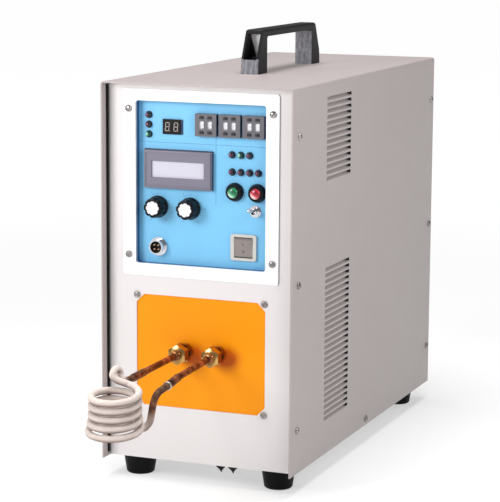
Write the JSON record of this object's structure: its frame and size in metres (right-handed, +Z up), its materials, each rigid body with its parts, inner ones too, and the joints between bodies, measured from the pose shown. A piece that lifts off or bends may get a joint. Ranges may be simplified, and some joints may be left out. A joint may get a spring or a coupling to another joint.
{
  "type": "induction heating machine",
  "caption": "Bench induction heating machine: louvred steel case with a recessed blue control panel, carry handle, rubber feet and a sleeved copper work coil on brass unions.",
  "frame": {"origin": "middle of the bounding box, coil and rear nozzles included, at floor height: z = 0 is under the feet", "axes": "+Z up; -Y out of the control face, towards the work coil; +X to the right of someone facing the controls"},
  "size_m": [0.2252, 0.7173, 0.485],
  "materials": {
    "pale_paint": "semi-gloss powder coat",
    "grey_paint": "fine-textured powder coat",
    "zinc_steel": "zinc-plated",
    "white_plate": "satin paint",
    "blue_plate": "matt printed paint",
    "orange_board": "satin insulating board",
    "black_moulding": "moulded",
    "black_gloss": "moulded, glossy",
    "black_rubber": "matt",
    "screw_steel": "nickel-plated",
    "knob_face": "turned",
    "chrome": "polished",
    "pot_metal": "stamped",
    "green_cap": "moulded",
    "red_cap": "moulded",
    "dark_insert": "moulded, brass pins",
    "cream_plastic": "moulded",
    "grey_plastic": "moulded",
    "meter_grey": "moulded",
    "meter_glass": "clear-faced panel",
    "red_lens": "tinted lens",
    "green_lens": "tinted lens",
    "thumb_grey": "moulded",
    "digit_white": "moulded, printed digits",
    "brass": "machined",
    "copper": "copper, darkened by heat",
    "glass_sleeve": "braided glass-fibre sleeve",
    "core_dark": "varnished core",
    "module_aluminium": "milled",
    "board_green": "circuit board"
  },
  "bodies": {
    "machine": {"cover": "grey_paint", "base_plate": "zinc_steel", "front_panel": "pale_paint", "rear_panel": "pale_paint", "bezel_plate": "white_plate", "control_plate": "blue_plate", "insulating_plate": "orange_board", "handle": "black_moulding", "rubber_feet": "black_rubber", "case_screws": "screw_steel", "base_clips": "black_moulding", "potentiometers": "pot_metal", "button_collars": "black_gloss", "toggle_switch": "chrome", "socket_shell": "chrome", "socket_insert": "dark_insert", "rocker_frame": "cream_plastic", "digit_display": "black_gloss", "meter_bezel": "meter_grey", "meter_screen": "meter_glass", "red_lamps": "red_lens", "green_lamps": "green_lens", "thumbwheel_frames": "thumb_grey", "output_unions": "brass", "work_coil": "copper", "coil_sleeve": "glass_sleeve", "coil_couplings": "copper", "fan_frame": "black_moulding", "water_nozzles": "brass", "cable_gland": "black_moulding", "output_transformer": "core_dark", "power_module": "module_aluminium", "control_board": "board_green"},
    "left_knob": {"knob_left": "black_gloss", "knob_cap_left": "knob_face"},
    "right_knob": {"knob_right": "black_gloss", "knob_cap_right": "knob_face"},
    "start_button_body": {"start_button": "green_cap"},
    "stop_button_body": {"stop_button": "red_cap"},
    "toggle_lever_body": {"toggle_lever": "chrome"},
    "rocker_key_body": {"rocker_key": "grey_plastic"},
    "fan_rotor_body": {"fan_rotor": "black_moulding"},
    "digit_wheel_1_body": {"digit_wheel_1": "digit_white"},
    "digit_up_1_body": {"digit_up_1": "black_moulding"},
    "digit_down_1_body": {"digit_down_1": "black_moulding"},
    "digit_wheel_2_body": {"digit_wheel_2": "digit_white"},
    "digit_up_2_body": {"digit_up_2": "black_moulding"},
    "digit_down_2_body": {"digit_down_2": "black_moulding"},
    "digit_wheel_3_body": {"digit_wheel_3": "digit_white"},
    "digit_up_3_body": {"digit_up_3": "black_moulding"},
    "digit_down_3_body": {"digit_down_3": "black_moulding"},
    "digit_wheel_4_body": {"digit_wheel_4": "digit_white"},
    "digit_up_4_body": {"digit_up_4": "black_moulding"},
    "digit_down_4_body": {"digit_down_4": "black_moulding"},
    "digit_wheel_5_body": {"digit_wheel_5": "digit_white"},
    "digit_up_5_body": {"digit_up_5": "black_moulding"},
    "digit_down_5_body": {"digit_down_5": "black_moulding"},
    "digit_wheel_6_body": {"digit_wheel_6": "digit_white"},
    "digit_up_6_body": {"digit_up_6": "black_moulding"},
    "digit_down_6_body": {"digit_down_6": "black_moulding"}
  },
  "joints": [
    {"name": "left_knob_turn", "type": "hinge", "parent": "machine", "child": "left_knob", "pos_m": [-0.0526, -0.14975, 0.3014], "axis": [0, 1, 0], "range_deg": [-150, 150]},
    {"name": "right_knob_turn", "type": "hinge", "parent": "machine", "child": "right_knob", "pos_m": [-0.0148, -0.14975, 0.3014], "axis": [0, 1, 0], "range_deg": [-150, 150]},
    {"name": "start_button_press", "type": "slide", "parent": "machine", "child": "start_button_body", "axis": [0, 1, 0], "range_m": [0, 0.0025], "stiffness_N_per_m": 400, "springref_m": -0.002},
    {"name": "stop_button_press", "type": "slide", "parent": "machine", "child": "stop_button_body", "axis": [0, 1, 0], "range_m": [0, 0.0025], "stiffness_N_per_m": 400, "springref_m": -0.002},
    {"name": "toggle_flip", "type": "hinge", "parent": "machine", "child": "toggle_lever_body", "pos_m": [0.0598, -0.15395, 0.3024], "axis": [1, 0, 0], "range_deg": [0, 26]},
    {"name": "rocker_rock", "type": "hinge", "parent": "machine", "child": "rocker_key_body", "pos_m": [0.047, -0.14675, 0.263], "axis": [1, 0, 0], "range_deg": [-12, 0]},
    {"name": "digit_wheel_1_turn", "type": "hinge", "parent": "machine", "child": "digit_wheel_1_body", "pos_m": [0, -0.14475, 0.392], "axis": [1, 0, 0], "continuous": true},
    {"name": "digit_wheel_2_turn", "type": "hinge", "parent": "machine", "child": "digit_wheel_2_body", "pos_m": [0.0092, -0.14475, 0.392], "axis": [1, 0, 0], "continuous": true},
    {"name": "digit_wheel_3_turn", "type": "hinge", "parent": "machine", "child": "digit_wheel_3_body", "pos_m": [0.0272, -0.14475, 0.392], "axis": [1, 0, 0], "continuous": true},
    {"name": "digit_wheel_4_turn", "type": "hinge", "parent": "machine", "child": "digit_wheel_4_body", "pos_m": [0.0364, -0.14475, 0.392], "axis": [1, 0, 0], "continuous": true},
    {"name": "digit_wheel_5_turn", "type": "hinge", "parent": "machine", "child": "digit_wheel_5_body", "pos_m": [0.0544, -0.14475, 0.392], "axis": [1, 0, 0], "continuous": true},
    {"name": "digit_wheel_6_turn", "type": "hinge", "parent": "machine", "child": "digit_wheel_6_body", "pos_m": [0.0636, -0.14475, 0.392], "axis": [1, 0, 0], "continuous": true},
    {"name": "digit_up_1_press", "type": "slide", "parent": "machine", "child": "digit_up_1_body", "axis": [0, 1, 0], "range_m": [0, 0.001], "stiffness_N_per_m": 300, "springref_m": -0.001},
    {"name": "digit_down_1_press", "type": "slide", "parent": "machine", "child": "digit_down_1_body", "axis": [0, 1, 0], "range_m": [0, 0.001], "stiffness_N_per_m": 300, "springref_m": -0.001},
    {"name": "digit_up_2_press", "type": "slide", "parent": "machine", "child": "digit_up_2_body", "axis": [0, 1, 0], "range_m": [0, 0.001], "stiffness_N_per_m": 300, "springref_m": -0.001},
    {"name": "digit_down_2_press", "type": "slide", "parent": "machine", "child": "digit_down_2_body", "axis": [0, 1, 0], "range_m": [0, 0.001], "stiffness_N_per_m": 300, "springref_m": -0.001},
    {"name": "digit_up_3_press", "type": "slide", "parent": "machine", "child": "digit_up_3_body", "axis": [0, 1, 0], "range_m": [0, 0.001], "stiffness_N_per_m": 300, "springref_m": -0.001},
    {"name": "digit_down_3_press", "type": "slide", "parent": "machine", "child": "digit_down_3_body", "axis": [0, 1, 0], "range_m": [0, 0.001], "stiffness_N_per_m": 300, "springref_m": -0.001},
    {"name": "digit_up_4_press", "type": "slide", "parent": "machine", "child": "digit_up_4_body", "axis": [0, 1, 0], "range_m": [0, 0.001], "stiffness_N_per_m": 300, "springref_m": -0.001},
    {"name": "digit_down_4_press", "type": "slide", "parent": "machine", "child": "digit_down_4_body", "axis": [0, 1, 0], "range_m": [0, 0.001], "stiffness_N_per_m": 300, "springref_m": -0.001},
    {"name": "digit_up_5_press", "type": "slide", "parent": "machine", "child": "digit_up_5_body", "axis": [0, 1, 0], "range_m": [0, 0.001], "stiffness_N_per_m": 300, "springref_m": -0.001},
    {"name": "digit_down_5_press", "type": "slide", "parent": "machine", "child": "digit_down_5_body", "axis": [0, 1, 0], "range_m": [0, 0.001], "stiffness_N_per_m": 300, "springref_m": -0.001},
    {"name": "digit_up_6_press", "type": "slide", "parent": "machine", "child": "digit_up_6_body", "axis": [0, 1, 0], "range_m": [0, 0.001], "stiffness_N_per_m": 300, "springref_m": -0.001},
    {"name": "digit_down_6_press", "type": "slide", "parent": "machine", "child": "digit_down_6_body", "axis": [0, 1, 0], "range_m": [0, 0.001], "stiffness_N_per_m": 300, "springref_m": -0.001},
    {"name": "fan_spin", "type": "hinge", "parent": "machine", "child": "fan_rotor_body", "pos_m": [0, 0.31075, 0.322], "axis": [0, 1, 0], "continuous": true}
  ]
}
